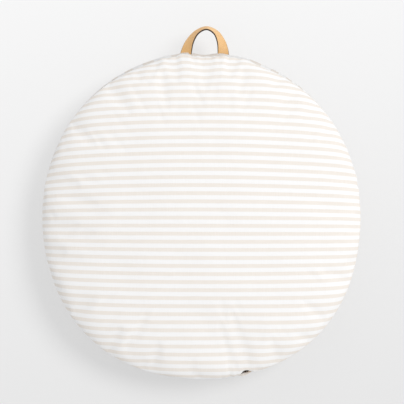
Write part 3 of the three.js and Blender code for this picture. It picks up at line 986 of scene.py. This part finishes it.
def zip_slider():
    half, wide = 5.5 * MM, 4.3 * MM
    nose = wide - 1 * MM
    plate = [(-half, -wide), (0, -wide), (half, -nose), (half, nose), (0, wide), (-half, wide)]
    plate = rounded(plate, 1.6 * MM)
    parts = Parts()
    slab(parts, plate, SLIDER[0], SLIDER[1], 0.3 * MM)
    inner = TAPE_R - 1.8 * MM
    slab(parts, plate * (0.96, 0.9), inner - 1.2 * MM, inner, 0.3 * MM)
    neck = rounded(oblong(-half + 0.5 * MM, -1.5 * MM, -0.5 * MM, 0.5 * MM), 0.3 * MM)
    slab(parts, neck, inner - 0.2 * MM, SLIDER[0] + 0.2 * MM, 0.1 * MM)
    for side in (-1, 1):
        low, high = sorted((side * (COIL_HALF + 0.25 * MM), side * (COIL_HALF + 0.7 * MM)))
        flange = np.array(oblong(-1.5 * MM, half - 0.6 * MM, low, high))
        slab(parts, flange, COIL_R - 1 * MM, SLIDER[0] + 0.2 * MM, 0.1 * MM)
    top = PULL_R + WIRE + 0.9 * MM
    bow = [(SLIDER[1] - 0.2 * MM, -3.4), (top - 1.6 * MM, -3.3), (top - 0.3 * MM, -2.4), (top, -1), (top, 1),
           (top - 0.3 * MM, 2.4), (top - 1.6 * MM, 3.3), (SLIDER[1] - 0.2 * MM, 3.4)]
    path = curve_through([(x, y * MM, 0) for x, y in bow], 0.5 * MM)
    strip(parts, path, np.tile(UP, (len(path), 1)), 1.0 * MM, 1.0 * MM, 3, 3)
    made = parts.make("zip_slider_body", bronze)
    turn_to_seam(made, SLIDER_ANGLE)
    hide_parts("zip_slider")
    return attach(made, "slider")


def pull_ring():
    line = rounded(oblong(0, RING_LENGTH, -RING_HALF, RING_HALF), 1.5 * MM, 6)
    parts = Parts()
    tube(parts, np.column_stack([np.zeros(len(line)), line]), WIRE, 10, closed=True)
    made = parts.make("zip_pull_wire", bronze)
    turn_to_seam(made, SLIDER_ANGLE, PULL_R, PULL_PIVOT)
    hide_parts("zip_pull_ring")
    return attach(made, "pull")


def twisted(points):
    """The tab twists along its length, so that its lower edge stands out."""
    x, y, z = np.asarray(points, float).T
    share = ease((y - 10 * MM) / (12 * MM))
    turn = TAB_TWIST * share
    out = 1.1 * MM * share - y**2 / (2 * SEAM_R)
    cos, sin = np.cos(turn), np.sin(turn)
    return np.column_stack([x * cos - z * sin + out, y, x * sin + z * cos])


def pull_tab():
    """A leather strip folded round the ring's bar."""
    layer, length = 1.1 * MM, 28.6 * MM
    end, apart, bar, bend = 28.6, 0.60, 8.6, 1.25
    near = [(apart, 12.5), (1.05, 10.4)]
    turns = np.radians([0, -35, -70, -90, -110, -145, -180])
    fold = [(bend * math.cos(turn), bar + bend * math.sin(turn)) for turn in turns]
    half = [(apart, end), (apart, 26), (apart, 20), *near, *fold, *[(-x, y) for x, y in near[::-1]],
            (-apart, 20), (-apart, 26), (-apart, end)]
    path = curve_through([(x * MM, y * MM, 0) for x, y in half], 0.5 * MM)
    widths = 2.7 * MM + 2.1 * MM * ease((path[:, 1] - 10.8 * MM) / (2.5 * MM))
    widths -= 1.6 * MM * np.clip((path[:, 1] - (length - 1.6 * MM)) / (1.6 * MM), 0, 1) ** 2
    line = twisted(path)
    across = twisted(path + np.array([0, 0, 1 * MM])) - line
    parts = Parts()
    strip(parts, line, across, widths, layer, 5, 8)
    made = parts.make("zip_pull_leather", leather, "edge")
    turn_to_seam(made, SLIDER_ANGLE, PULL_R, PULL_PIVOT)
    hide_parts("zip_pull_tab")
    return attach(made, "pull")


def tab_stitching():
    """The thread that holds the tab's two layers together, on both faces."""
    parts = Parts()
    inset, near, far = 3.3 * MM, 13 * MM, 26.6 * MM
    walk = rounded(oblong(near, far, -inset, inset), 1.5 * MM)
    line = curve_through(np.column_stack([np.zeros(len(walk)), walk]), 0.4 * MM)
    for face in (-1, 1):
        for i in range(0, len(line) - 4, 6):
            ends = twisted([line[j] + np.array([face * 1.16 * MM, 0, 0]) for j in (i, i + 4)])
            stitch(parts, ends[0], ends[1], np.array([face, 0, 0]), 0.2 * MM)
    made = parts.make("zip_pull_stitching", cotton_thread)
    turn_to_seam(made, SLIDER_ANGLE, PULL_R, PULL_PIVOT)
    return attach(made, "pull")


def zip_stop(name, node):
    """A metal clip pressed over both tapes."""
    plate = rounded(oblong(-1.0 * MM, 1.0 * MM, -COIL_HALF, COIL_HALF), 0.6 * MM)
    parts = Parts()
    slab(parts, plate, COIL_INNER_R, COIL_R + 0.3 * MM, 0.3 * MM)
    made = parts.make(name, bronze)
    turn_to_seam(made, angle_of(middle_of(node)))
    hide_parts(node)
    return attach(made, "cushion")


# ---- The handle ----

STRAP_THICKNESS = 3 * MM
STRAP_ROLL = math.radians(67)


def handle():
    """One strap: its ends lie between the panels, and its loop rolls over so that the inner edge looks up."""
    half_gap, rise = (LEGS[1] - LEGS[0]) / 2, LOOP_TOP - HINGE[1] + 0.5 * MM
    middle = (LEGS[0] + LEGS[1]) / 2
    shape = [(-1, 0.037), (-0.965, 0.165), (-0.80, 0.495), (-0.42, 0.845), (0.105, 1), (0.60, 0.84),
             (0.889, 0.495), (0.989, 0.165), (1, 0.037)]
    loop = [(middle + x * half_gap, HINGE[1] + y * rise, SEAM_Z) for x, y in shape]
    line = curve_through([(LEGS[0], TAIL_START, SEAM_Z), *loop, (LEGS[1], TAIL_START, SEAM_Z)], 1.2 * MM)
    outside = line[:, 1] > HINGE[1] + 1.5 * MM
    share = np.clip(np.cumsum(outside) / outside.sum(), 0, 1)
    roll = STRAP_ROLL * np.maximum(np.sin(math.pi * share), 0) ** 0.8
    outwards = unit(np.cross(UP, along(line)))
    across = outwards * np.cos(roll)[:, None] - UP * np.sin(roll)[:, None]
    parts = Parts()
    strip(parts, line, across, STRAP_WIDTH / 2, STRAP_THICKNESS, 7, 14)
    made = parts.make("leather_handle", leather, "edge")
    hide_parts("handle_strap", "handle_tail_left", "handle_tail_right")
    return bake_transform(made)


# ---- The care label ----


def care_label():
    """Blank satin, sewn into the seam, that hangs over the side."""
    hinge = pivots["care_label_flex"]
    low, high = box_of("care_label")
    angle, out = angle_of(hinge), math.hypot(hinge[0], hinge[1])
    width, length = 30 * MM, high[2] - low[2]
    rows = curve_through([
        (-4 * MM, 0, 0), (-1.2 * MM, 0, 0), (0.6 * MM, 0, -0.8 * MM), (2.2 * MM, 0, -5 * MM),
        (3.4 * MM, 0, -length * 0.4), (3.2 * MM, 0, -length * 0.75), (3.8 * MM, 0, -length - 1 * MM),
    ], 1.5 * MM)
    across = np.linspace(-width / 2, width / 2, 15)
    points = np.array([[row + np.array([0, y, 0]) for y in across] for row in rows])
    curl = 1.4 * MM * (points[..., 1] / width * 2) ** 3 * (points[..., 2] / length) ** 2
    points[..., 0] += curl + 0.8 * MM * (points[..., 2] / length) ** 2
    faces = grid_faces(len(rows), len(across))
    made = mesh_object("satin_care_label", points.reshape(-1, 3), faces, label_satin)
    walk = np.linspace(0, length, len(rows))
    lay_out(made, np.stack(np.meshgrid(across, walk), -1).reshape(-1, 2))
    skin = made.modifiers.new("thickness", "SOLIDIFY")
    skin.thickness = 0.3 * MM
    turn_to_seam(made, angle, out)
    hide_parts("care_label")
    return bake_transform(made)


# ---- Floor, light and camera ----


def floor():
    half = 4.0
    corners = [(-half, -half, 0), (half, -half, 0), (half, half, 0), (-half, half, 0)]
    made = mesh_object("floor", corners, [[0, 1, 2, 3]], pale_floor())
    made.location.z = -0.5 * MM


def light_up():
    world = bpy.data.worlds.new("studio")
    world.use_nodes = True
    world.node_tree.nodes["Background"].inputs["Color"].default_value = (0.985, 0.99, 1, 1)
    world.node_tree.nodes["Background"].inputs["Strength"].default_value = 0.765
    bpy.context.scene.world = world
    key = bpy.data.lights.new("key", "SUN")
    key.energy, key.angle, key.color = 1.42, math.radians(26), (1, 0.99, 0.975)
    made = bpy.data.objects.new("key", key)
    made.rotation_euler = Vector((1.15, 0.5, 1.7)).to_track_quat("Z", "Y").to_euler()
    bpy.context.scene.collection.objects.link(made)
    bpy.context.scene.view_settings.view_transform = "Standard"


def camera():
    """Looks straight down, leaning a little towards the side away from the handle."""
    lean = math.radians(3.9)
    view, pillow = 404, 318  # pixels across in the photograph
    width = 2 * SEAM_R * view / pillow
    lens, sensor = 180, 36
    aim = Vector((1 * MM, 28.7 * MM, SEAM_Z))
    back = Vector((0, -math.sin(lean), math.cos(lean)))
    data = bpy.data.cameras.new("camera")
    data.lens, data.sensor_width = lens, sensor
    made = bpy.data.objects.new("camera", data)
    made.location = aim + back * (width * lens / sensor)
    made.rotation_euler = (-back).to_track_quat("-Z", "Y").to_euler()
    bpy.context.scene.collection.objects.link(made)
    bpy.context.scene.camera = made


camera()
light_up()
floor()
top_cloth = cover_panel("cover_top", "cover_top_panel", top_outline)
under_cloth = cover_panel("cover_under", "cover_bottom_panel", under_outline)
zip_topstitching([(top_outline, top_cloth), (under_outline, under_cloth)])
insert_shell("liner_top", "liner_top_panel", top_outline, 286 * MM, 4 * MM)
insert_shell("liner_under", "liner_bottom_panel", under_outline, 286 * MM, 3 * MM)
fibre_mass(280 * MM, 6 * MM)
zip_tape("woven_tape_upper", "zip_tape_upper", top_outline)
zip_tape("woven_tape_lower", "zip_tape_lower", under_outline)
zip_coil("wound_coil_upper", "zip_coil_upper", 1)
zip_coil("wound_coil_lower", "zip_coil_lower", -1)
zip_stop("top_stop_clip", "zip_top_stop")
zip_stop("bottom_stop_clip", "zip_bottom_stop")
zip_slider()
pull_ring()
pull_tab()
tab_stitching()
handle()
care_label()
